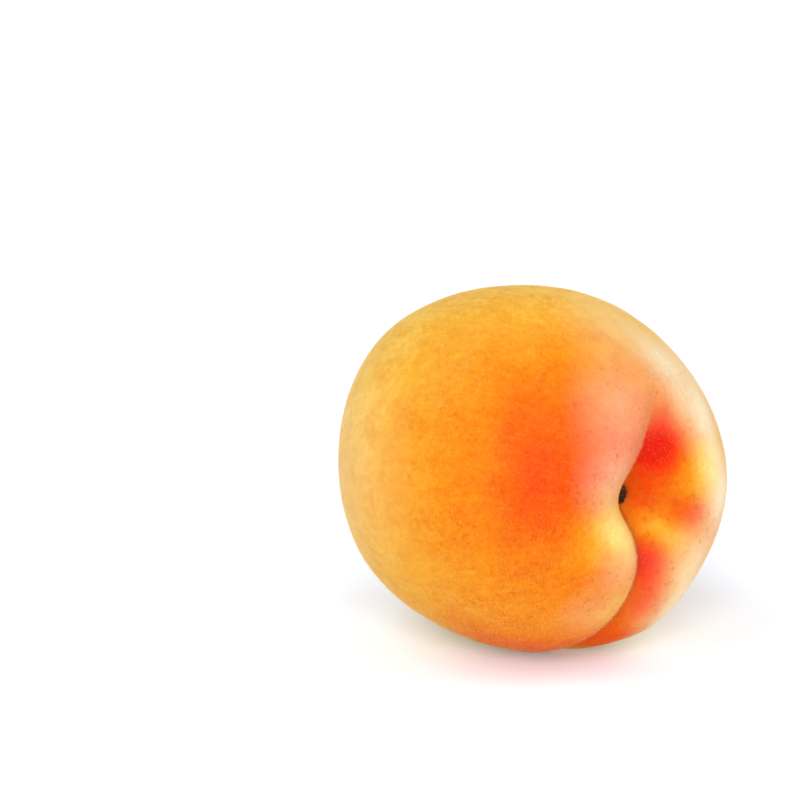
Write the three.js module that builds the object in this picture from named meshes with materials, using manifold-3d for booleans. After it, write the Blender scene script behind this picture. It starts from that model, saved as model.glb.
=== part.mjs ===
// A ripe peach lying on its side, as picked: the fruit in one solid, and the dry woody stub
// of its stem at the bottom of the stem cavity.
//
// Units are millimetres. The fruit is worked out in its own frame, with z along the stem
// axis and out of the stem cavity, x on the seam side and y on the far cheek. It is then
// laid down: the stem axis points along +X, the seam faces the ground and +Z is up. The
// origin is on the ground, under the middle of the fruit's box.

import * as THREE from "three";
import { mergeVertices } from "three/addons/utils/BufferGeometryUtils.js";
import Module from "manifold-3d";

const wasm = await Module();
wasm.setup();

// Driving dimensions

// The body is an ellipsoid with a half-length of its own on each of its six sides.
const HALF_LENGTH = { seam: 33.5, back: 35.7, near: 33.9, far: 36.2, stem: 34.2, tip: 36.5 };
const SIDE_BLEND = 0.35; // how gradually one side's half-length turns into the opposite one's
const BEND = { x: 0.6, y: -0.7 }; // both ends are shifted this far sideways
const LEAN = { x: -0.5, y: 1.6 }; // the stem end is shifted this far and the tip end back
const END_DISTANCE = 35; // where along the stem axis the bend and the lean are measured

// Gentle swells and hollows: degrees from the stem, degrees round it from the seam,
// spread as a share of the radius, and height.
const SWELLS = [
  { polar: 53, around: 11, spread: 0.22, height: 1.4 },
  { polar: 87, around: -50, spread: 0.53, height: -2.9 },
  { polar: 60, around: 138, spread: 0.47, height: -1.1 },
  { polar: 129, around: -153, spread: 0.34, height: 2.0 },
  { polar: 137, around: 185, spread: 0.5, height: 1.4 },
  { polar: 63, around: 90, spread: 0.5, height: 1.0 },
  { polar: 31, around: -161, spread: 0.3, height: 2.6 },
  { polar: 19, around: -46, spread: 0.21, height: 0.5 },
];

// The seam groove runs from the stem cavity down to the tip. A short fold lies opposite.
const SEAM = { depth: 4.4, tipDepth: 0.5, fadeFrom: 36, fadeTo: 104 };
const FOLD = { depth: 3.9, tipDepth: 0, fadeFrom: 18, fadeTo: 40 };
const GROOVE_HALF_WIDTH = 4.0;
const GROOVE_POWER = 1.2; // the shape of the groove's walls
const GROOVE_BOTTOM = 0.1; // the rounding of its bottom, as a share of the half-width
const MEETING_RADIUS = 4; // how far from the stem axis the seam and the fold run together
const MEETING_SHARE = 0.4; // how far to each side they are mixed, as a share of that way

const CAVITY_DEPTH = 11.2;
const CAVITY_HALF_WIDTH = { seam: 7.4, back: 9.7, near: 12.0, far: 6.5 };
const CAVITY_BLEND = 6; // how gradually one half-width turns into the opposite one
const CAVITY_FADE = 0.5; // it fades out where the cosine from the stem falls from this to 0

const TIP = { dimpleDepth: 1.5, dimpleRadius: 6, nubHeight: 1.1, nubRadius: 1.4 };

// The stub's outline as radius and height, from the middle of its base to its hollow top
const STUB_OUTLINE = [
  [0, 0],
  [1.9, 0],
  [1.9, 0.35],
  [1.65, 0.7],
  [1.75, 1.05],
  [1.35, 1.3],
  [0, 1.0],
];
const STUB_SIDES = 20;
const STUB_SHIFT = -0.6; // from the stem axis towards the near cheek
const STUB_GAP = 0.3; // between the stub and its socket
const SOCKET_DEPTH = 0.7; // below the deepest point of the stem cavity

const ROLL = -6.5; // degrees that the seam is turned away from straight down
const PITCH = 5; // degrees that the stem end is raised
const FLAT_SPOT_RISE = 0.9; // how far the resting spot is pressed in

const RINGS = 56; // rings of faces from the stem to the tip
const MERIDIANS = 84;
const CROWDING = 0.45; // how much closer they lie at both ends and along the seam

const smoothStep = THREE.MathUtils.smoothstep;
const radians = THREE.MathUtils.degToRad;

// From one value at a large negative x to another at a large positive x
const blend = (negative, positive, x) =>
  negative + (positive - negative) * 0.5 * (1 + Math.tanh(x));

// Evenly spaced shares from 0 to 1, moved together towards 0 and 1
const crowd = (share) => share - (CROWDING * Math.sin(2 * Math.PI * share)) / (2 * Math.PI);

const direction = (polar, around) =>
  new THREE.Vector3(
    Math.sin(polar) * Math.cos(around),
    Math.sin(polar) * Math.sin(around),
    Math.cos(polar),
  );

function bodyPoint(out) {
  const a = blend(HALF_LENGTH.back, HALF_LENGTH.seam, out.x / SIDE_BLEND);
  const b = blend(HALF_LENGTH.near, HALF_LENGTH.far, out.y / SIDE_BLEND);
  const c = blend(HALF_LENGTH.tip, HALF_LENGTH.stem, out.z / SIDE_BLEND);
  let radius = 1 / Math.hypot(out.x / a, out.y / b, out.z / c);
  for (const { polar, around, spread, height } of SWELLS) {
    const nearness = out.dot(direction(radians(polar), radians(around))) - 1;
    radius += height * Math.exp(nearness / spread ** 2);
  }
  const point = out.clone().multiplyScalar(radius);
  const end = point.z / END_DISTANCE;
  point.x += BEND.x * end ** 2 + LEAN.x * end;
  point.y += BEND.y * end ** 2 + LEAN.y * end;
  return point;
}

// How deep the seam, on one side of the stem axis, or the fold, on the other, lies here
function grooveDepth(point, polar) {
  const across = Math.hypot(point.y / GROOVE_HALF_WIDTH, GROOVE_BOTTOM) - GROOVE_BOTTOM;
  const seamWards = point.x / Math.hypot(point.x, point.y, MEETING_RADIUS);
  const seamShare = smoothStep(seamWards, -MEETING_SHARE, MEETING_SHARE);
  const alongIt = ({ depth, tipDepth, fadeFrom, fadeTo }) =>
    depth + (tipDepth - depth) * smoothStep(polar, radians(fadeFrom), radians(fadeTo));
  const depth = seamShare * alongIt(SEAM) + (1 - seamShare) * alongIt(FOLD);
  return depth * Math.exp(-(across ** GROOVE_POWER));
}

function cavityDepth(point, out) {
  const halfX = blend(CAVITY_HALF_WIDTH.back, CAVITY_HALF_WIDTH.seam, point.x / CAVITY_BLEND);
  const halfY = blend(CAVITY_HALF_WIDTH.near, CAVITY_HALF_WIDTH.far, point.y / CAVITY_BLEND);
  const away = (point.x / halfX) ** 2 + (point.y / halfY) ** 2;
  return (CAVITY_DEPTH / (1 + away)) * smoothStep(out.z, 0, CAVITY_FADE);
}

// The small pointed scar of the flower in its dimple, at the tip
function tipRise(point, out) {
  const away = point.x ** 2 + point.y ** 2;
  const dimple = TIP.dimpleDepth * Math.exp(-away / TIP.dimpleRadius ** 2);
  const nub = TIP.nubHeight * Math.exp(-away / TIP.nubRadius ** 2);
  return out.z < 0 ? dimple - nub : 0;
}

function skinPoint(polar, around) {
  const out = direction(polar, around);
  const point = bodyPoint(out);
  point.addScaledVector(out, -grooveDepth(point, polar));
  point.z += tipRise(point, out) - cavityDepth(point, out);
  return point;
}

// A closed surface: one point at each end and rings of points between them
function skinGeometry() {
  const points = [skinPoint(0, 0)];
  for (let ring = 1; ring < RINGS; ring++)
    for (let side = 0; side < MERIDIANS; side++)
      points.push(
        skinPoint(Math.PI * crowd(ring / RINGS), 2 * Math.PI * crowd(side / MERIDIANS)),
      );
  points.push(skinPoint(Math.PI, 0));

  const last = points.length - 1;
  const at = (ring, side) => 1 + (ring - 1) * MERIDIANS + (side % MERIDIANS);
  const faces = [];
  for (let side = 0; side < MERIDIANS; side++) {
    faces.push(0, at(1, side), at(1, side + 1));
    for (let ring = 1; ring < RINGS - 1; ring++) {
      const [a, b] = [at(ring, side), at(ring, side + 1)];
      const [c, d] = [at(ring + 1, side), at(ring + 1, side + 1)];
      faces.push(a, c, b, b, c, d);
    }
    faces.push(last, at(RINGS - 1, side + 1), at(RINGS - 1, side));
  }
  return new THREE.BufferGeometry().setFromPoints(points).setIndex(faces);
}

function toSolid(geometry) {
  const bare = geometry.clone();
  bare.deleteAttribute("normal");
  bare.deleteAttribute("uv");
  const merged = mergeVertices(bare);
  const vertProperties = new Float32Array(merged.attributes.position.array);
  const triVerts = new Uint32Array(merged.index.array);
  return new wasm.Manifold(new wasm.Mesh({ numProp: 3, vertProperties, triVerts }));
}

function toGeometry(solid) {
  const { vertProperties, triVerts } = solid.getMesh();
  const geometry = new THREE.BufferGeometry();
  geometry.setAttribute("position", new THREE.BufferAttribute(vertProperties, 3));
  geometry.setIndex(new THREE.BufferAttribute(triVerts, 1));
  geometry.computeVertexNormals();
  return geometry;
}

const stubRadius = Math.max(...STUB_OUTLINE.map(([radius]) => radius));
const socketFloor = skinPoint(0, 0).z - SOCKET_DEPTH;

// A round hole at the bottom of the stem cavity, open towards the stem's side
function socketCutter() {
  const height = HALF_LENGTH.stem;
  const radius = stubRadius + STUB_GAP;
  return new THREE.CylinderGeometry(radius, radius, height, STUB_SIDES)
    .rotateX(Math.PI / 2)
    .translate(0, STUB_SHIFT, socketFloor + height / 2);
}

// From the fruit's own frame to the way it lies
const layDown = new THREE.Matrix4()
  .makeRotationY(radians(90 - PITCH))
  .multiply(new THREE.Matrix4().makeRotationZ(radians(ROLL)));

// Everything below the height of the resting spot
function groundCutter(spotHeight) {
  const side = 4 * HALF_LENGTH.tip;
  return new THREE.BoxGeometry(side, side, side).translate(0, 0, spotHeight - side / 2);
}

const material = (name, color, roughness) =>
  new THREE.MeshStandardMaterial({ name, color, roughness, metalness: 0 });

const skin = toSolid(skinGeometry())
  .subtract(toSolid(socketCutter()))
  .transform(layDown.elements);
const spotHeight = skin.boundingBox().min[2] + FLAT_SPOT_RISE;
const fruitSolid = skin.subtract(toSolid(groundCutter(spotHeight)));

const fruit = new THREE.Mesh(toGeometry(fruitSolid), material("peach skin", 0xf79a3c, 0.6));
fruit.name = "fruit";

const stubOutline = STUB_OUTLINE.map(([radius, height]) => new THREE.Vector2(radius, height));
const stub = new THREE.Mesh(
  new THREE.LatheGeometry(stubOutline, STUB_SIDES).rotateX(Math.PI / 2),
  material("dry stem wood", 0x4a2a18, 0.85),
);
stub.name = "stem_stub";
stub.position.set(0, STUB_SHIFT, socketFloor + STUB_GAP);

const stemAxis = new THREE.Group();
stemAxis.setRotationFromMatrix(layDown);
stemAxis.add(stub);

const { min, max } = fruitSolid.boundingBox();
const peach = new THREE.Group();
peach.position.set(-(min[0] + max[0]) / 2, -(min[1] + max[1]) / 2, -spotHeight);
peach.add(fruit, stemAxis);

export default peach;
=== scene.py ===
"""A ripe peach lying on its seam side on a pale floor.

It has velvety golden skin with an orange and red blush, a deep stem cavity with the dry stub
of the stem in it, and a coat of short fuzz, hair by hair.
"""

import math

import bpy
import numpy as np
from mathutils import Matrix, Vector, noise


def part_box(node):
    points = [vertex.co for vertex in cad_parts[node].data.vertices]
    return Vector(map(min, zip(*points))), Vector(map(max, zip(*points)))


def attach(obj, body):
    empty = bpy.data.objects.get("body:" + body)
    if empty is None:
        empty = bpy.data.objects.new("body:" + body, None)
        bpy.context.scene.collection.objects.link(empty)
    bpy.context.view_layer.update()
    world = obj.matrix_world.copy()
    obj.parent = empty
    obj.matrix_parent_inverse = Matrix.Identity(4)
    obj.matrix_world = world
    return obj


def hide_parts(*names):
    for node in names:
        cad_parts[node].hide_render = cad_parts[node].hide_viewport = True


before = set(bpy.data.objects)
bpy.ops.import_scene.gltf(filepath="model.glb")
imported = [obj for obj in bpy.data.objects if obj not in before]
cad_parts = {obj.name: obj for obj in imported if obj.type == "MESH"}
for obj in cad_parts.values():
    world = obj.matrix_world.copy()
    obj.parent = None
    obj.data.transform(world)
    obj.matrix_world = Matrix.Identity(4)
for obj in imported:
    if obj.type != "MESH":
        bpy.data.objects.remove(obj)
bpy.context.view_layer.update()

MM = 0.001
SEED = 7

# The form of the fruit, in millimetres and in its own frame: z along the stem axis and out of
# the stem cavity, x on the seam side, y on the far cheek. It repeats the CAD model's driving
# dimensions: the body is an ellipsoid with a half-length of its own on each of its six sides.
HALF_LENGTH = {"seam": 33.5, "back": 35.7, "near": 33.9, "far": 36.2, "stem": 34.2, "tip": 36.5}
SIDE_BLEND = 0.35  # how gradually one side's half-length turns into the opposite one's
BEND = (0.6, -0.7)  # both ends are shifted this far sideways, in x and y
LEAN = (-0.5, 1.6)  # the stem end is shifted this far and the tip end back
END_DISTANCE = 35  # where along the stem axis the bend and the lean are measured
SWELLS = (  # degrees from the stem, degrees round it from the seam, spread, height
    (53, 11, 0.22, 1.4),
    (87, -50, 0.53, -2.9),
    (60, 138, 0.47, -1.1),
    (129, -153, 0.34, 2.0),
    (137, 185, 0.50, 1.4),
    (63, 90, 0.50, 1.0),
    (31, -161, 0.30, 2.6),
    (19, -46, 0.21, 0.5),
)

# The seam groove runs from the stem cavity down to the tip. A short fold lies opposite.
SEAM = {"depth": 4.4, "tip_depth": 0.5, "fade_from": 36, "fade_to": 104}
FOLD = {"depth": 3.9, "tip_depth": 0, "fade_from": 18, "fade_to": 40}
GROOVE_HALF_WIDTH = 4.0
GROOVE_POWER = 1.2  # the shape of the groove's walls
GROOVE_BOTTOM = 0.1  # the rounding of its bottom, as a share of the half-width
MEETING_RADIUS = 4  # how far from the stem axis the seam and the fold run together
MEETING_SHARE = 0.4  # how far to each side they are mixed, as a share of that way

CAVITY_DEPTH = 11.2
CAVITY_HALF_WIDTH = {"seam": 7.4, "back": 9.7, "near": 12.0, "far": 6.5}
CAVITY_BLEND = 6  # how gradually one half-width turns into the opposite one
CAVITY_FADE = 0.5  # it fades out where the cosine from the stem falls from this to 0

TIP = {"dimple_depth": 1.5, "dimple_radius": 6, "nub_height": 1.1, "nub_radius": 1.4}
STUB_SHIFT = -0.6  # from the stem axis towards the near cheek
ROLL = math.radians(-6.5)  # how far the seam is turned away from straight down
PITCH = math.radians(5)  # how far the stem end is raised

RINGS = 288  # rings of faces from the stem to the tip
MERIDIANS = 320
CROWDING = 0.45  # how much closer they lie at both ends and along the seam

# The camera, from the photograph
IMAGE_PX = 800
PX_PER_MM = 5.375
FRUIT_CENTRE_PX = (536.3, 479.4)
CAMERA_DISTANCE = 0.8
CAMERA_AZIMUTH = math.radians(40.2)
CAMERA_ELEVATION = math.radians(19.2)
SENSOR_MM = 36


def smooth_step(x, low, high):
    share = np.clip((x - low) / (high - low), 0, 1)
    return share * share * (3 - 2 * share)


def blend(negative, positive, x):
    """From one value at a large negative x to another at a large positive x."""
    return negative + (positive - negative) * 0.5 * (1 + np.tanh(x))


def crowd(share):
    """Evenly spaced shares from 0 to 1, moved together towards 0 and 1."""
    return share - CROWDING * np.sin(2 * np.pi * share) / (2 * np.pi)


def direction(polar, around):
    sideways = np.sin(polar)
    return np.stack([sideways * np.cos(around), sideways * np.sin(around), np.cos(polar)], -1)


def body_points(out):
    sides = (("back", "seam"), ("near", "far"), ("tip", "stem"))
    half_lengths = [
        blend(HALF_LENGTH[negative], HALF_LENGTH[positive], out[..., axis] / SIDE_BLEND)
        for axis, (negative, positive) in enumerate(sides)
    ]
    radius = 1 / np.linalg.norm(out / np.stack(half_lengths, -1), axis=-1)
    for polar, around, spread, height in SWELLS:
        nearness = out @ direction(math.radians(polar), math.radians(around)) - 1
        radius = radius + height * np.exp(nearness / spread**2)
    points = out * radius[..., None]
    end = points[..., 2] / END_DISTANCE
    for axis in (0, 1):
        points[..., axis] += BEND[axis] * end**2 + LEAN[axis] * end
    return points


def groove_depth(points, polar):
    """How deep the seam, on one side of the stem axis, or the fold, on the other, lies here."""
    across = np.hypot(points[..., 1] / GROOVE_HALF_WIDTH, GROOVE_BOTTOM) - GROOVE_BOTTOM
    from_axis = np.hypot(np.hypot(points[..., 0], points[..., 1]), MEETING_RADIUS)
    seam_share = smooth_step(points[..., 0] / from_axis, -MEETING_SHARE, MEETING_SHARE)

    def along(groove):
        start, end = math.radians(groove["fade_from"]), math.radians(groove["fade_to"])
        fade = smooth_step(polar, start, end)
        return groove["depth"] + (groove["tip_depth"] - groove["depth"]) * fade

    depth = seam_share * along(SEAM) + (1 - seam_share) * along(FOLD)
    return depth * np.exp(-(across**GROOVE_POWER))


def cavity_depth(points, out):
    x, y = points[..., 0], points[..., 1]
    half_x = blend(CAVITY_HALF_WIDTH["back"], CAVITY_HALF_WIDTH["seam"], x / CAVITY_BLEND)
    half_y = blend(CAVITY_HALF_WIDTH["near"], CAVITY_HALF_WIDTH["far"], y / CAVITY_BLEND)
    away = (x / half_x) ** 2 + (y / half_y) ** 2
    return CAVITY_DEPTH / (1 + away) * smooth_step(out[..., 2], 0, CAVITY_FADE)


def tip_rise(points, out):
    """The small pointed scar of the flower in its dimple, at the tip."""
    away = points[..., 0] ** 2 + points[..., 1] ** 2
    dimple = TIP["dimple_depth"] * np.exp(-away / TIP["dimple_radius"] ** 2)
    nub = TIP["nub_height"] * np.exp(-away / TIP["nub_radius"] ** 2)
    return np.where(out[..., 2] < 0, dimple - nub, 0)


def skin_points(polar, around):
    """Points of the smooth skin in the fruit's own frame, in millimetres."""
    polar, around = np.asarray(polar, float), np.asarray(around, float)
    out = direction(polar, around)
    points = body_points(out)
    points -= out * groove_depth(points, polar)[..., None]
    points[..., 2] += tip_rise(points, out) - cavity_depth(points, out)
    return points


# From the fruit's own frame to the way it lies, as in the CAD model
LAY_DOWN = np.array(Matrix.Rotation(math.pi / 2 - PITCH, 3, "Y") @ Matrix.Rotation(ROLL, 3, "Z"))


def place(own):
    """Points of the fruit's own frame, in millimetres, as points of the part's frame, in metres."""
    return np.asarray(own, float) @ LAY_DOWN.T * MM + FRUIT_CENTRE


def skin_grid():
    """The angles of the skin's points: at the stem's end, ring after ring, at the tip's end."""
    ring = np.pi * crowd(np.arange(1, RINGS) / RINGS)
    side = 2 * np.pi * crowd(np.arange(MERIDIANS) / MERIDIANS)
    polar, around = np.meshgrid(ring, side, indexing="ij")
    polar = np.concatenate([[0], polar.ravel(), [np.pi]])
    around = np.concatenate([[0], around.ravel(), [0]])
    return polar, around


def skin_numbers():
    """The number of the skin's point at each ring and side. Each end has one point."""
    ring, side = np.meshgrid(np.arange(RINGS + 1), np.arange(MERIDIANS + 1), indexing="ij")
    number = 1 + (ring - 1) * MERIDIANS + side % MERIDIANS
    return np.clip(number, 0, 1 + (RINGS - 1) * MERIDIANS)


def find_centre():
    """Where the fruit's own origin lies, so that the fruit fills its node's box."""
    polar, around = skin_grid()
    laid = skin_points(polar, around) @ LAY_DOWN.T * MM
    return np.array(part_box("fruit")[1]) - laid.max(0)


FRUIT_CENTRE = find_centre()

# Surface relief beyond the CAD form, in millimetres
LUMPS = ((16, 0.22), (6, 0.09), (2.4, 0.025))  # wavelength, height
LUMPS_APART = 50  # how far apart in the noise the different lumps are taken
DENTS = (  # degrees from the stem, degrees round it from the seam, reach, depth
    (64, -70, 5.0, 0.16),
    (98, -128, 6.5, 0.22),
    (80, 118, 6.0, 0.20),
    (118, 20, 5.0, 0.18),
    (48, 160, 4.0, 0.10),
)
# A faint swelling along each side of the seam. It rises between two distances from the stem axis.
LIP = {"height": 0.22, "distance": 4.6, "width": 1.6, "rise_from": 2, "rise_to": 10}


def lump_heights(own):
    heights = np.zeros(len(own))
    for index, (wavelength, height) in enumerate(LUMPS):
        offset = Vector((SEED * 10, index * LUMPS_APART, 0))
        heights += [height * noise.noise(Vector(point) / wavelength + offset) for point in own]
    return heights


def falloff(own, polar, around, reach):
    """1 at a place given in degrees, falling to 0 over about its reach in millimetres."""
    centre = skin_points(math.radians(polar), math.radians(around))
    return np.exp(-((np.linalg.norm(own - centre, axis=1) / reach) ** 2))


def relief(own):
    heights = lump_heights(own)
    for polar, around, reach, depth in DENTS:
        heights -= depth * falloff(own, polar, around, reach)
    lip = np.exp(-(((np.abs(own[:, 1]) - LIP["distance"]) / LIP["width"]) ** 2))
    along_seam = smooth_step(own[:, 0], LIP["rise_from"], LIP["rise_to"])
    return heights + LIP["height"] * lip * along_seam


# Each patch adds to how blushed or how pale the skin is round a place: degrees from the stem,
# degrees round it from the seam, reach in millimetres, amount. The places were chosen one by one.
# Their values were then fitted to the photograph by least squares, rounded and edited.
BLUSH_GROUND = 0.165
BLUSH = {
    "near cheek": (24, -129, 33.4, 0.90),
    "near cheek, middle": (61, -125, 3.7, 0.09),
    "near cheek, low": (48, -91, 5.8, 0.10),
    "lower left rim": (91, -12, 13.7, 0.62),
    "near lip, yellow": (19, -55, 8.7, -1.10),
    "near lip, low": (26, -43, 6.5, 0.58),
    "near lip, under": (61, -32, 3.3, -0.07),
    "near lip, orange": (46, -78, 6.6, -0.08),
    "cavity's upper wall": (16, 168, 5.5, 0.58),
    "upper wall, top": (27, 173, 2.4, 0.19),
    "upper wall, by the lip": (19, 166, 3.1, 0.08),
    "cavity's floor": (5, 61, 4.2, 0.39),
    "far rim, yellow": (25, 108, 6.3, -0.58),
    "far rim, red spot": (12, 52, 4.0, 0.90),
    "far rim, red bar": (18, 68, 2.6, 0.27),
    "far wall, yellow": (12, 36, 5.1, -1.09),
    "seam's far wall": (21, 3, 5.5, 1.10),
    "seam's far wall, low": (38, 6, 5.8, 1.10),
    "far lip, pale": (37, 5, 9.0, -0.96),
    "left side, golden": (138, -175, 24.3, -0.18),
    "top, golden": (50, 175, 26.7, -0.41),
    "seam's lower end": (57, 4, 9.5, 0.58),
    "underside, yellow": (104, 8, 13.0, -0.80),
    "resting side": (77, 24, 8.0, -0.37),
    "far cheek": (93, 95, 19.1, 0.45),
    "far cheek, towards the tip": (140, 70, 17.6, 0.30),
    "tip": (176, 0, 7.0, 0.35),
}
# The pale patches are mostly painted sheen: the pale band where the fuzz catches the light along the
# rims, the shoulders and the near lip. The underside's patch is paler ground colour, and the far side's
# is partly that.
PALE_AND_SHEEN_GROUND = -0.06
PALE_AND_SHEEN = {
    "near lip, under": (45, -26, 7.7, 0.20),
    "right shoulder": (34, 134, 5.7, 0.79),
    "far rim": (33, 84, 6.1, 1.01),
    "far side": (60, 118, 14.0, 0.50),
    "underside": (104, 8, 12.0, 0.50),
    "right shoulder, outer": (50, 142, 8.0, 0.40),
    "right shoulder, lower": (31, 157, 3.6, 0.22),
    "far rim, upper": (31, 112, 4.5, 0.20),
    "right shoulder, upper": (44, 164, 6.1, 0.67),
    "far rim, low": (50, 26, 6.4, 0.95),
    "far rim, middle": (33, 40, 7.4, 0.67),
    "near lip, upper": (35, -151, 8.7, 0.31),
    "near lip, by the stem": (20, -111, 7.2, 0.40),
    "near lip, lower": (22, -38, 6.0, 0.31),
    "upper shoulder": (59, 175, 11.1, 0.33),
    "left side": (137, -98, 22.1, 0.27),
}

# The brown marks, in millimetres. The ring round the stub is partly a dry ring of tissue and partly
# painted shade at the stub's foot.
SEAM_LINE = {"half_width": 0.55, "amount": 0.35, "rise_over": 4}
STEM_RING_AND_SHADE = {"inner": 1.6, "outer": 2.6, "amount": 0.75}
TIP_SCAR = {"radius": 1.3, "amount": 0.9}


def sum_of(own, ground, patches):
    return ground + sum(amount * falloff(own, *where) for *where, amount in patches.values())


def scar_and_shade_amounts(own):
    """The brown marks: the ring round the stub, partly painted shade at its foot, the tip's scar and the
    line down the seam.
    """
    from_stub = np.hypot(own[:, 0], own[:, 1] - STUB_SHIFT)
    from_axis = np.hypot(own[:, 0], own[:, 1])
    at_stem = own[:, 2] > 0
    outside = smooth_step(from_stub, STEM_RING_AND_SHADE["inner"], STEM_RING_AND_SHADE["outer"])
    # The ring is partly a dry ring of tissue and partly painted shade in the hollow round the stub's
    # foot.
    ring = STEM_RING_AND_SHADE["amount"] * (1 - outside)
    scar = TIP_SCAR["amount"] * np.exp(-((from_axis / TIP_SCAR["radius"]) ** 2))
    on_seam = np.exp(-((own[:, 1] / SEAM_LINE["half_width"]) ** 2))
    line = SEAM_LINE["amount"] * on_seam * smooth_step(own[:, 0], 0, SEAM_LINE["rise_over"])
    return np.maximum(np.where(at_stem, ring, scar), line)


def add_floats(mesh, name, values):
    attribute = mesh.attributes.new(name, "FLOAT", "POINT")
    attribute.data.foreach_set("value", np.asarray(values, np.float32))


def add_vectors(mesh, name, values):
    attribute = mesh.attributes.new(name, "FLOAT_VECTOR", "POINT")
    attribute.data.foreach_set("vector", np.asarray(values, np.float32).ravel())


def vertex_normals(mesh):
    normals = np.empty(len(mesh.vertices) * 3, np.float32)
    mesh.vertex_normals.foreach_get("vector", normals)
    return normals.reshape(-1, 3)


def skin_faces():
    """The faces of the skin, and for each corner its place on the flat map of the skin."""
    numbers = skin_numbers().tolist()
    faces, corners_on_map = [], []
    for ring in range(RINGS):
        for side in range(MERIDIANS):
            corners = [(ring, side), (ring + 1, side), (ring + 1, side + 1), (ring, side + 1)]
            if ring == 0:
                corners.pop(3)
            if ring == RINGS - 1:
                corners.pop(2)
            faces.append([numbers[row][column] for row, column in corners])
            corners_on_map += [(column / MERIDIANS, 1 - row / RINGS) for row, column in corners]
    return faces, corners_on_map


def new_object(name, vertices, faces, material, smooth=True):
    mesh = bpy.data.meshes.new(name)
    mesh.from_pydata(vertices, [], faces)
    if smooth:
        mesh.shade_smooth()
    else:
        mesh.shade_flat()
    mesh.materials.append(material)
    piece = bpy.data.objects.new(name, mesh)
    bpy.context.scene.collection.objects.link(piece)
    return piece


def rest_on_floor(points):
    points[:, 2] = np.maximum(points[:, 2], 0)
    return points


STREAK_SHARE = 0.12  # how much slower the streaks change along a meridian than across it


def make_skin(material):
    polar, around = skin_grid()
    own = skin_points(polar, around)
    faces, corners_on_map = skin_faces()
    skin = new_object("peach_skin", place(own), faces, material)
    mesh = skin.data
    heights = relief(own)
    shaped = place(own) + vertex_normals(mesh) * (heights * MM)[:, None]
    mesh.vertices.foreach_set("co", rest_on_floor(shaped).ravel())
    mesh.update()
    uv_map = mesh.uv_layers.new(name="OFBake")
    uv_map.uv.foreach_set("vector", np.array(corners_on_map, np.float32).ravel())
    add_floats(mesh, "blush", sum_of(own, BLUSH_GROUND, BLUSH))
    # How pale the skin is: mostly painted sheen along the rims, partly paler ground colour.
    add_floats(mesh, "pale", sum_of(own, PALE_AND_SHEEN_GROUND, PALE_AND_SHEEN))
    # The brown marks, with painted shade round the stub's foot in the ring.
    add_floats(mesh, "scar", scar_and_shade_amounts(own))
    along = np.stack([np.cos(around), np.sin(around), polar * STREAK_SHARE], -1)
    add_vectors(mesh, "meridian", along)
    return skin


def linear(colour):
    """A colour such as "f7d664" as the shader's linear red, green, blue and alpha."""
    shares = [int(colour[i : i + 2], 16) / 255 for i in (0, 2, 4)]
    return tuple(s / 12.92 if s <= 0.04045 else ((s + 0.055) / 1.055) ** 2.4 for s in shares) + (1.0,)


class Nodes:
    """Short ways to add nodes to a material.

    Inputs are given by name, as values or as other nodes' outputs.
    """

    def __init__(self, material):
        material.use_nodes = True
        self.tree = material.node_tree
        self.shader = self.tree.nodes["Principled BSDF"]

    def set(self, node, values):
        for name, value in values.items():
            socket = node.inputs[name]
            if isinstance(value, bpy.types.NodeSocket):
                self.tree.links.new(value, socket)
            else:
                socket.default_value = value

    def add(self, kind, output=0, settings=None, **values):
        node = self.tree.nodes.new("ShaderNode" + kind)
        for name, value in (settings or {}).items():
            setattr(node, name, value)
        self.set(node, {name.replace("_", " "): value for name, value in values.items()})
        return node.outputs[output]

    def attribute(self, name, output="Fac"):
        return self.add("Attribute", output, {"attribute_name": name})

    def math(self, operation, a, b=0.0, clamp=False):
        node = self.tree.nodes.new("ShaderNodeMath")
        node.operation, node.use_clamp = operation, clamp
        self.set(node, {0: a, 1: b})
        return node.outputs[0]

    def both(self, share, a, b):
        """A share of one value and the rest of another."""
        return self.math("ADD", self.math("MULTIPLY", a, share), self.math("MULTIPLY", b, 1 - share))

    def noise(self, place, scale, detail=2.0, roughness=0.5):
        return self.add("TexNoise", "Fac", Vector=place, Scale=scale, Detail=detail, Roughness=roughness)

    def spread(self, value, low, high, to_low=0.0, to_high=1.0):
        """The value's range from low to high, stretched to another range with soft ends."""
        node = self.tree.nodes.new("ShaderNodeMapRange")
        node.interpolation_type = "SMOOTHSTEP"
        self.set(node, {"Value": value, "From Min": low, "From Max": high})
        self.set(node, {"To Min": to_low, "To Max": to_high})
        return node.outputs["Result"]

    def mix(self, share, a, b):
        node = self.tree.nodes.new("ShaderNodeMix")
        node.data_type = "RGBA"
        self.set(node, {0: share, 6: a, 7: b})
        return node.outputs[2]

    def ramp(self, value, stops):
        node = self.tree.nodes.new("ShaderNodeValToRGB")
        elements = node.color_ramp.elements
        while len(elements) < len(stops):
            elements.new(1.0)
        for element, (position, colour) in zip(elements, stops):
            element.position, element.color = position, linear(colour)
        self.set(node, {"Fac": value})
        return node.outputs["Color"]


BLUSH_COLOURS = (  # from no blush to a blush of FULL_BLUSH
    (0.00, "e2c462"),
    (0.21, "d69c2a"),
    (0.42, "d07808"),
    (0.63, "cc5400"),
    (0.83, "d02c00"),
    (1.00, "c81400"),
)
FULL_BLUSH = 1.2
# Mostly painted sheen along the rims, partly the paler ground colour.
PALE_AND_SHEEN_COLOUR = "e2d2b2"
SPECK_COLOUR = "b04008"
# The colour of the brown marks, also used for the painted shade round the stub's foot.
SCAR_AND_SHADE_COLOUR = "4a2410"
SHEEN_COLOUR = "ffd08c"

NOISE_RANGE = (0.3, 0.7)  # holds nearly all of a noise's values

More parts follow.
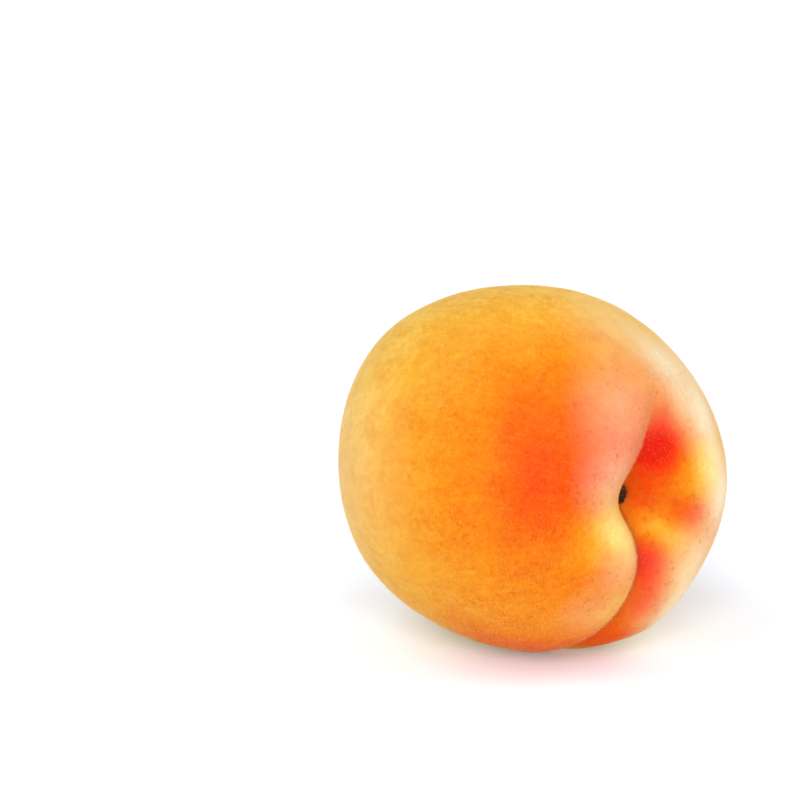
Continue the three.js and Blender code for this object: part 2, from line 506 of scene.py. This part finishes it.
# How fine the patterns in the skin are, per metre (the streaks per radian round the stem
# axis), and how much each one changes the blush
CLOUD_SCALE, CLOUD_AMOUNT = 95, 0.28
STREAK_SCALE, STREAK_AMOUNT = 26, 0.18
MOTTLE_SCALE, MOTTLE_AMOUNT = 800, 0.3
GRAIN_SCALE, GRAIN_AMOUNT = 3000, 0.1
MOTTLE_SHARE_OF_BUMPS = 0.6  # The grain makes the rest.

# How fine the specks are, per metre, and the noise's value where they begin and are full
FINE_SPECKS = (1000, 0.54, 0.68)
COARSE_SPECKS = (560, 0.6, 0.7)
SPECKLED_AREAS = (190, 0.36, 0.6)
TANNED_AREAS = (240, 0.4, 0.7)
TAN_AMOUNT = 0.16

# How strong they are: from one amount of blush or paleness to another, and the two strengths
SPECKS_ON_BLUSH = (0.2, 0.6, 0.1, 0.45)
SPECKS_ON_PALE = (0.3, 0.8, 1.0, 0.0)
TAN_ON_PALE = (0.1, 0.7, 1.0, 0.2)
MOTTLED_PALENESS = (0.8, 1.15)  # what the mottle makes of the paleness, at both ends of its range


def uneven_blush(nodes, here, mottle, grain):
    """The blush of the patches with clouds, streaks down the meridians, mottle and grain."""
    along = nodes.attribute("meridian", "Vector")
    clouds = nodes.noise(here, CLOUD_SCALE, 3, 0.6)
    streaks = nodes.noise(along, STREAK_SCALE, 3, 0.6)
    patterns = (
        (clouds, CLOUD_AMOUNT),
        (streaks, STREAK_AMOUNT),
        (mottle, MOTTLE_AMOUNT),
        (grain, GRAIN_AMOUNT),
    )
    blush = nodes.attribute("blush")
    for pattern, amount in patterns:
        centred = nodes.math("SUBTRACT", pattern, 0.5)
        blush = nodes.math("ADD", blush, nodes.math("MULTIPLY", centred, amount))
    return blush


def speck_shares(nodes, here, pale_and_sheen_share):
    """How much of the specks' colour shows: small specks in some areas, and a faint tan."""

    def shown(pattern, detail, roughness=0.5, most=1.0):
        scale, begins, full = pattern
        return nodes.spread(nodes.noise(here, scale, detail, roughness), begins, full, 0.0, most)

    specks = nodes.math("MAXIMUM", shown(FINE_SPECKS, 2, 0.6), shown(COARSE_SPECKS, 2, 0.6))
    specks = nodes.math("MULTIPLY", specks, shown(SPECKLED_AREAS, 2))
    on_blush = nodes.spread(nodes.attribute("blush"), *SPECKS_ON_BLUSH)
    strength = nodes.math("MULTIPLY", on_blush, nodes.spread(pale_and_sheen_share, *SPECKS_ON_PALE))
    specks = nodes.math("MULTIPLY", specks, strength)

    tan = shown(TANNED_AREAS, 4, 0.7, TAN_AMOUNT)
    tan = nodes.math("MULTIPLY", tan, nodes.spread(pale_and_sheen_share, *TAN_ON_PALE))
    return nodes.math("MAXIMUM", specks, tan)


def skin_material():
    material = bpy.data.materials.new("peach_skin")
    nodes = Nodes(material)
    here = nodes.add("TexCoord", "Object")
    mottle = nodes.noise(here, MOTTLE_SCALE, 3, 0.65)
    grain = nodes.noise(here, GRAIN_SCALE, 2)

    blush = uneven_blush(nodes, here, mottle, grain)
    colour = nodes.ramp(nodes.math("DIVIDE", blush, FULL_BLUSH), BLUSH_COLOURS)
    mottled = nodes.spread(mottle, *NOISE_RANGE, *MOTTLED_PALENESS)
    pale_and_sheen_share = nodes.math("MULTIPLY", nodes.attribute("pale"), mottled, clamp=True)
    # Mix in the pale colour: mostly painted sheen along the rims, partly paler ground colour.
    colour = nodes.mix(pale_and_sheen_share, colour, linear(PALE_AND_SHEEN_COLOUR))
    speck_share = speck_shares(nodes, here, pale_and_sheen_share)
    colour = nodes.mix(speck_share, colour, linear(SPECK_COLOUR))
    # The brown marks, and painted shade round the stub's foot.
    colour = nodes.mix(nodes.attribute("scar"), colour, linear(SCAR_AND_SHADE_COLOUR))

    height = nodes.both(MOTTLE_SHARE_OF_BUMPS, mottle, grain)
    bump = nodes.add("Bump", "Normal", Strength=0.35, Distance=0.00012, Height=height)
    nodes.set(nodes.shader, {
        "Base Color": colour,
        "Roughness": nodes.spread(mottle, *NOISE_RANGE, 0.5, 0.66),
        "Normal": bump,
        "Specular IOR Level": 0.06,
        "Subsurface Weight": 0.12,
        "Subsurface Radius": (1.0, 0.4, 0.15),
        "Subsurface Scale": 0.003,
        "Sheen Weight": 0.15,
        "Sheen Roughness": 0.3,
        "Sheen Tint": linear(SHEEN_COLOUR),
    })
    return material


# The fuzz: coats of hairs, in millimetres. Each hair is a thin closed spike with three sides.
COATS = 3
HAIRS_PER_COAT = 45000
HAIR_LENGTH = (0.22, 0.6)
HAIR_RADIUS = 0.008
HAIR_ROOT_DEPTH = 0.04
HAIR_SPREAD = 0.42  # how far hairs lean at random, as the tangent of the angle
HAIR_NAP = 0.22  # how far all of them lean towards the tip
BARE_RADIUS = 2.3  # round the stem's stub
FURRED_RADIUS = 12  # from here on the fuzz is as dense as elsewhere
BARE_HEIGHT = 0.35  # above the floor
WORN_HEIGHT = 16  # up to here the fuzz is worn thinner
FUZZ_COLOUR = "dcbc8a"


def unit(vectors):
    return vectors / np.linalg.norm(vectors, axis=1)[:, None]


def hair_roots(rng, skin):
    """Places spread evenly over the skin, and the way out of the skin at each."""
    points = np.empty(len(skin.data.vertices) * 3)
    skin.data.vertices.foreach_get("co", points)
    points, normals = points.reshape(-1, 3), vertex_normals(skin.data)

    numbers = skin_numbers()
    patches = (numbers[:-1, :-1], numbers[1:, :-1], numbers[:-1, 1:], numbers[1:, 1:])
    patches = np.stack(patches, -1).reshape(-1, 4)
    a, b, c, d = (points[patches[:, corner]] for corner in range(4))
    areas = np.linalg.norm(np.cross(b - a, c - a), axis=1)
    areas += np.linalg.norm(np.cross(b - d, c - d), axis=1)

    chosen = patches[rng.choice(len(patches), HAIRS_PER_COAT, p=areas / areas.sum())]
    down, across = rng.random((2, HAIRS_PER_COAT, 1))
    up, back = 1 - down, 1 - across
    shares = np.stack([up * back, down * back, up * across, down * across], 1)
    return (points[chosen] * shares).sum(1), unit((normals[chosen] * shares).sum(1))


def hair_ways(rng, out):
    """Out of the skin, leaning at random and a little towards the tip."""
    towards_tip = -LAY_DOWN[:, 2]
    nap = towards_tip - out * (out @ towards_tip)[:, None]
    lean = rng.normal(0, HAIR_SPREAD, (HAIRS_PER_COAT, 3))
    return unit(out + lean - out * (lean * out).sum(1)[:, None] + nap * HAIR_NAP)


def kept_hairs(rng, roots, tips):
    """Which hairs are kept: fewer in the stem cavity and low down, none by the stub or floor."""
    own = (roots - FRUIT_CENTRE) / MM @ LAY_DOWN
    from_stub = np.hypot(own[:, 0], own[:, 1] - STUB_SHIFT)
    at_stem = own[:, 2] > 0
    furred = np.where(at_stem, smooth_step(from_stub, BARE_RADIUS, FURRED_RADIUS), 1)
    worn = 1 - smooth_step(roots[:, 2] / MM, 0, WORN_HEIGHT)
    bare = rng.random(HAIRS_PER_COAT) > furred * (1 - worn)
    return ~bare & (np.minimum(roots[:, 2], tips[:, 2]) > BARE_HEIGHT * MM)


def hair_spikes(rng, roots, ways, tips):
    """The points and faces of the hairs: three corners round each root, and the tip."""
    sideways = unit(np.cross(ways, rng.normal(size=ways.shape)))
    other = np.cross(ways, sideways)
    base = roots - ways * HAIR_ROOT_DEPTH * MM
    corners = []
    for turn in (0, 2 * math.pi / 3, 4 * math.pi / 3):
        away = sideways * math.cos(turn) + other * math.sin(turn)
        corners.append(base + away * HAIR_RADIUS * MM)
    points = np.stack(corners + [tips], 1).reshape(-1, 3)
    first = np.arange(len(roots))[:, None] * 4
    sides = ((0, 1, 3), (1, 2, 3), (2, 0, 3), (2, 1, 0))
    faces = np.concatenate([first + side for side in sides], 1).reshape(-1, 3)
    return points, faces.tolist()


def make_coat(number, skin, material):
    rng = np.random.default_rng(SEED + number)
    roots, out = hair_roots(rng, skin)
    ways = hair_ways(rng, out)
    tips = roots + ways * rng.uniform(*HAIR_LENGTH, (HAIRS_PER_COAT, 1)) * MM
    kept = kept_hairs(rng, roots, tips)
    points, faces = hair_spikes(rng, roots[kept], ways[kept], tips[kept])
    return new_object(f"fuzz_coat_{number}", points, faces, material, smooth=False)


def fuzz_material():
    material = bpy.data.materials.new("fuzz")
    nodes = Nodes(material)
    nodes.set(nodes.shader, {
        "Base Color": linear(FUZZ_COLOUR),
        "Roughness": 0.6,
        "Specular IOR Level": 0.2,
    })
    return material


# The stem's stub, in millimetres: radius and height up the outside, over the rim and into the hollow
STUB_PROFILE = (
    (1.75, 0.0), (1.85, 0.25), (1.78, 0.5), (1.62, 0.7), (1.6, 0.9), (1.7, 1.05), (1.66, 1.2),
    (1.45, 1.26), (1.2, 1.2), (1.0, 1.0), (0.7, 0.85), (0.4, 0.87), (0.0, 0.9),
)
STUB_STEPS = 6  # rings of points between two points of the profile
STUB_SIDES = 120
STUB_RIBS = 11
STUB_RIB_DEPTH = 0.06
STUB_RIB_WANDER = 1.5  # how far the ribs wander round the stub, in radians
STUB_ROUGHNESS = 0.1
STUB_ROUGH_SCALE = (2.2, 1.2)  # how fine the roughness is, sideways and upwards
STUB_TOP_SHARE = 0.8  # the share of the unevenness that also raises the top
STUB_BASE = -0.4  # above the deepest point of the stem cavity
WOOD_COLOURS = ((0.3, "140803"), (0.5, "34180b"), (0.7, "63391c"))
WOOD_FIBRE_SCALE, WOOD_PATCH_SCALE = 2600, 700  # per metre
WOOD_FIBRE_SHARE = 0.6  # of the colour's unevenness. The patches make the rest.


def stub_points():
    profile = np.array(STUB_PROFILE)
    steps = np.linspace(0, len(profile) - 1, (len(profile) - 1) * STUB_STEPS + 1)
    radii, heights = (np.interp(steps, np.arange(len(profile)), column) for column in profile.T)
    turn = 2 * math.pi * np.arange(STUB_SIDES) / STUB_SIDES
    sideways, upwards = STUB_ROUGH_SCALE
    points = []
    for radius, height in zip(radii, heights):
        for angle in turn:
            x, y = math.cos(angle), math.sin(angle)
            in_noise = (radius * x * sideways, radius * y * sideways, height * upwards)
            rough = noise.noise(Vector(in_noise))
            rib = math.cos(STUB_RIBS * angle + STUB_RIB_WANDER * rough) * STUB_RIB_DEPTH
            shift = (rib + STUB_ROUGHNESS * rough) * min(radius, 1)
            reach = radius + shift
            points.append((reach * x, reach * y, height + shift * STUB_TOP_SHARE))
    return np.array(points)


def grid_faces(rings, sides):
    return [
        (ring * sides + side, ring * sides + (side + 1) % sides,
         (ring + 1) * sides + (side + 1) % sides, (ring + 1) * sides + side)
        for ring in range(rings - 1)
        for side in range(sides)
    ]


def make_stub(material):
    points = stub_points()
    points += [0, STUB_SHIFT, skin_points(0, 0)[2] + STUB_BASE]
    faces = grid_faces(len(points) // STUB_SIDES, STUB_SIDES)
    faces.append(tuple(reversed(range(STUB_SIDES))))
    return new_object("stem_stub_detail", place(points), faces, material)


def stub_material():
    material = bpy.data.materials.new("stem_wood")
    nodes = Nodes(material)
    here = nodes.add("TexCoord", "Object")
    fibres = nodes.noise(here, WOOD_FIBRE_SCALE, 4, 0.7)
    patches = nodes.noise(here, WOOD_PATCH_SCALE, 2)
    colour = nodes.ramp(nodes.both(WOOD_FIBRE_SHARE, fibres, patches), WOOD_COLOURS)
    bump = nodes.add("Bump", "Normal", Strength=0.7, Distance=0.0002, Height=fibres)
    nodes.set(nodes.shader, {
        "Base Color": colour,
        "Roughness": nodes.spread(fibres, *NOISE_RANGE, 0.75, 0.95),
        "Normal": bump,
        "Specular IOR Level": 0.2,
    })
    return material


# The stage: a plain pale floor and soft studio light
FLOOR_SIZE = 12
FLOOR_COLOUR = "f1f8ff"
FLOOR_GLOW = 0.08  # the floor is a lit table
WORLD_LIGHT = 0.41
LIGHTS = {  # wide soft lights: azimuth, elevation, brightness on white that faces them
    "front": (40, 24, 0.86),
    "left": (-35, 55, 0.35),
    "right": (130, 40, 0.36),
}
LIGHT_SPREAD = math.radians(45)


def look_from(azimuth, elevation):
    """The way from the fruit to a place seen at an azimuth and elevation in radians."""
    flat = math.cos(elevation)
    return Vector((math.sin(azimuth) * flat, -math.cos(azimuth) * flat, math.sin(elevation)))


def make_floor():
    half = FLOOR_SIZE / 2
    corners = [(-half, -half, 0), (half, -half, 0), (half, half, 0), (-half, half, 0)]
    material = bpy.data.materials.new("floor")
    nodes = Nodes(material)
    nodes.set(nodes.shader, {
        "Base Color": linear(FLOOR_COLOUR),
        "Roughness": 0.9,
        "Specular IOR Level": 0.1,
        "Emission Color": linear(FLOOR_COLOUR),
        "Emission Strength": FLOOR_GLOW,
    })
    floor = new_object("floor", corners, [(0, 1, 2, 3)], material, smooth=False)


def make_lights():
    world = bpy.data.worlds.new("studio")
    world.use_nodes = True
    background = world.node_tree.nodes["Background"]
    background.inputs["Color"].default_value = (1, 1, 1, 1)
    background.inputs["Strength"].default_value = WORLD_LIGHT
    bpy.context.scene.world = world
    for name, (azimuth, elevation, brightness) in LIGHTS.items():
        light = bpy.data.lights.new(name, "SUN")
        light.energy, light.angle = brightness * math.pi, LIGHT_SPREAD
        lamp = bpy.data.objects.new(name, light)
        way = look_from(math.radians(azimuth), math.radians(elevation))
        lamp.location = way
        lamp.rotation_euler = way.to_track_quat("Z", "Y").to_euler()
        bpy.context.scene.collection.objects.link(lamp)


def make_camera():
    """The fruit's own origin is seen at FRUIT_CENTRE_PX, with PX_PER_MM and no shift."""
    towards = look_from(CAMERA_AZIMUTH, CAMERA_ELEVATION)
    right = Vector((math.cos(CAMERA_AZIMUTH), math.sin(CAMERA_AZIMUTH), 0))
    up = towards.cross(right)
    focal_px = PX_PER_MM / MM * CAMERA_DISTANCE
    off_centre = [math.atan((px - IMAGE_PX / 2) / focal_px) for px in FRUIT_CENTRE_PX]
    turn = Matrix.Rotation(off_centre[0], 3, "Y") @ Matrix.Rotation(off_centre[1], 3, "X")
    facing = Matrix((right, up, towards)).transposed() @ turn
    camera = bpy.data.objects.new("camera", bpy.data.cameras.new("camera"))
    camera.data.sensor_width = SENSOR_MM
    camera.data.lens = focal_px / IMAGE_PX * SENSOR_MM
    camera.data.clip_end = 2 * FLOOR_SIZE
    spot = Vector(FRUIT_CENTRE) + towards * CAMERA_DISTANCE
    camera.matrix_world = Matrix.Translation(spot) @ facing.to_4x4()
    bpy.context.scene.collection.objects.link(camera)
    bpy.context.scene.camera = camera


def dress(piece, replaced=None):
    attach(piece, "root")
    if replaced:
        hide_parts(replaced)


make_camera()
make_lights()
make_floor()

skin = make_skin(skin_material())
dress(skin, "fruit")
fuzz = fuzz_material()
for number in range(1, COATS + 1):
    dress(make_coat(number, skin, fuzz))
dress(make_stub(stub_material()), "stem_stub")

bpy.context.scene.view_settings.view_transform = "Standard"
